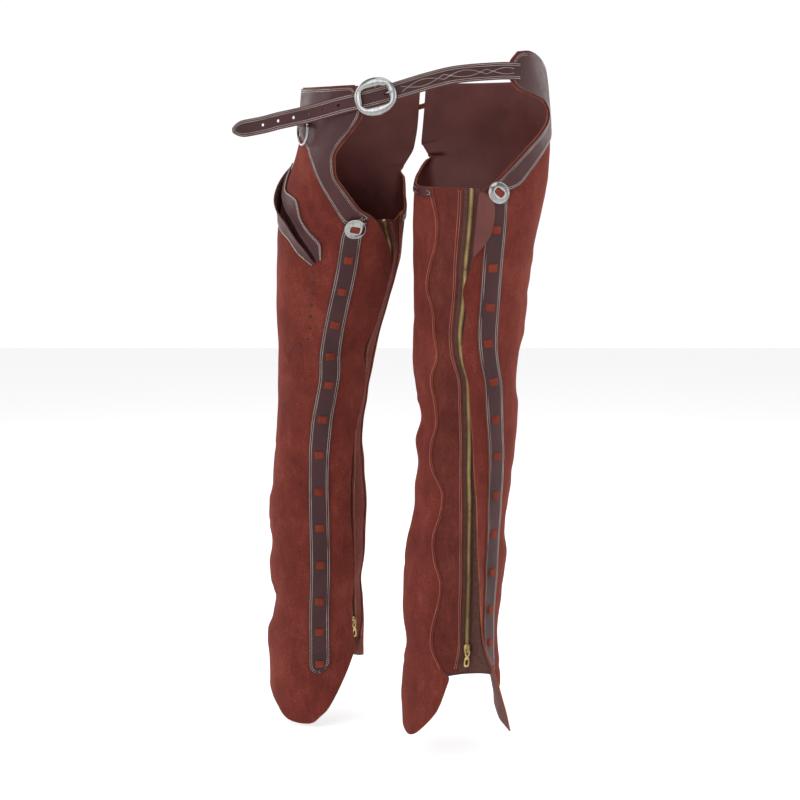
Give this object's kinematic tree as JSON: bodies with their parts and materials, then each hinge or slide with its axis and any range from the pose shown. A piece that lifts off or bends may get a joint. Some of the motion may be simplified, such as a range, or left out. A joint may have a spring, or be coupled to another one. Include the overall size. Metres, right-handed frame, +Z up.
{
  "type": "work chaps",
  "caption": "Full-length suede work chaps with leather yokes, zipped legs laced with suede squares, silver conchos and a belt that buckles at the back.",
  "frame": {"origin": "middle of the waist at the height of the belt, where the wearer's hips hold the chaps", "axes": "+Z up, +Y towards the wearer's back, +X towards the wearer's left"},
  "size_m": [0.4693, 0.419, 1.045],
  "materials": {
    "suede": "napped rust-brown suede, raw edges",
    "leather": "smooth burgundy leather with a soft sheen",
    "lace": "rust-red suede lace",
    "zip_tape": "dark brown woven tape",
    "brass": "worn bright brass",
    "silver": "polished silver plate"
  },
  "bodies": {
    "chaps": {"back_strip_left": "suede", "back_strip_right": "suede", "belt": "leather", "buckle_bar": "silver", "buckle_frame": "silver", "buckle_prong": "silver", "chape": "leather", "concho_lace_left": "lace", "concho_lace_right": "lace", "concho_left": "silver", "concho_right": "silver", "crotch_trim_left": "leather", "crotch_trim_right": "leather", "front_lace": "lace", "lace_left_01": "lace", "lace_left_02": "lace", "lace_left_03": "lace", "lace_left_04": "lace", "lace_left_05": "lace", "lace_left_06": "lace", "lace_left_07": "lace", "lace_left_08": "lace", "lace_left_09": "lace", "lace_left_10": "lace", "lace_left_11": "lace", "lace_left_12": "lace", "lace_left_13": "lace", "lace_right_01": "lace", "lace_right_02": "lace", "lace_right_03": "lace", "lace_right_04": "lace", "lace_right_05": "lace", "lace_right_06": "lace", "lace_right_07": "lace", "lace_right_08": "lace", "lace_right_09": "lace", "lace_right_10": "lace", "lace_right_11": "lace", "lace_right_12": "lace", "lace_right_13": "lace", "lace_strip_left": "leather", "lace_strip_right": "leather", "main_panel_left": "suede", "main_panel_right": "suede", "pocket_back": "leather", "pocket_front": "leather", "ring_loop": "leather", "ring_tab": "leather", "slider_body_left": "brass", "slider_body_right": "brass", "slider_bridge_left": "brass", "slider_bridge_right": "brass", "yoke_left": "leather", "yoke_right": "leather", "zip_tape_left": "zip_tape", "zip_tape_right": "zip_tape"},
    "pull_left": {"zip_pull_left": "brass"},
    "pull_right": {"zip_pull_right": "brass"},
    "ring": {"d_ring": "silver"}
  },
  "joints": [
    {"name": "pull_left_turn", "type": "hinge", "parent": "chaps", "child": "pull_left", "pos_m": [0.10847, -0.13321, -0.82491], "axis": [-0.5745, -0.7933, 0.2015], "range_deg": [-110, 0]},
    {"name": "pull_right_turn", "type": "hinge", "parent": "chaps", "child": "pull_right", "pos_m": [-0.06375, 0.10832, -0.81564], "axis": [-0.9475, -0.3045, -0.0975], "range_deg": [-110, 0]},
    {"name": "ring_turn", "type": "hinge", "parent": "chaps", "child": "ring", "pos_m": [0.17838, 0.03051, -0.04564], "axis": [-0.4639, 0.8859, 0], "range_deg": [-75, 0]}
  ]
}
